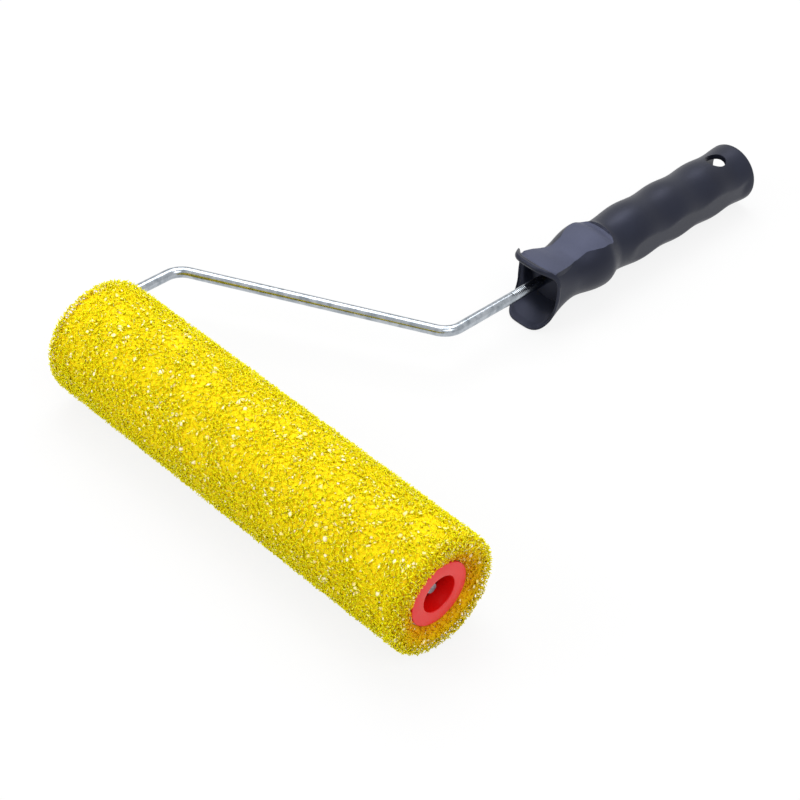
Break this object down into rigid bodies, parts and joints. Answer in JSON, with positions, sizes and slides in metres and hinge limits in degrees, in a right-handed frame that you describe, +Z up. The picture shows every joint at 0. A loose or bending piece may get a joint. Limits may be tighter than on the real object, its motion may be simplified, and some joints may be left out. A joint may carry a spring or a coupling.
{
  "type": "paint roller",
  "caption": "Paint roller: coarse open-cell foam sleeve on a core tube with bushed end plugs, turning on a bent wire frame held in a hollow moulded handle with a flared hand guard.",
  "frame": {"origin": "centre of the outline on the surface that the tool lies on, under the foam and the handle's tail", "axes": "+X along the roller's axis towards its free end, +Y from the roller to the handle's tail, +Z up"},
  "size_m": [0.2667, 0.3984, 0.063],
  "materials": {
    "foam": "open-cell polyurethane foam",
    "core": "extruded",
    "plug": "moulded satin",
    "wire": "bright zinc plated",
    "washer": "zinc plated",
    "push_nut": "blackened spring steel",
    "handle": "moulded satin polypropylene"
  },
  "bodies": {
    "frame": {"handle": "handle", "wire_frame": "wire", "outer_thrust_washer": "washer", "outer_push_nut": "push_nut", "inner_thrust_washer": "washer"},
    "roller": {"foam_sleeve": "foam", "core_tube": "core", "outer_end_plug": "plug", "inner_end_plug": "plug"}
  },
  "joints": [
    {"name": "roller_spin", "type": "hinge", "parent": "frame", "child": "roller", "pos_m": [0, -0.16767, 0.0315], "axis": [1, 0, 0], "continuous": true}
  ]
}
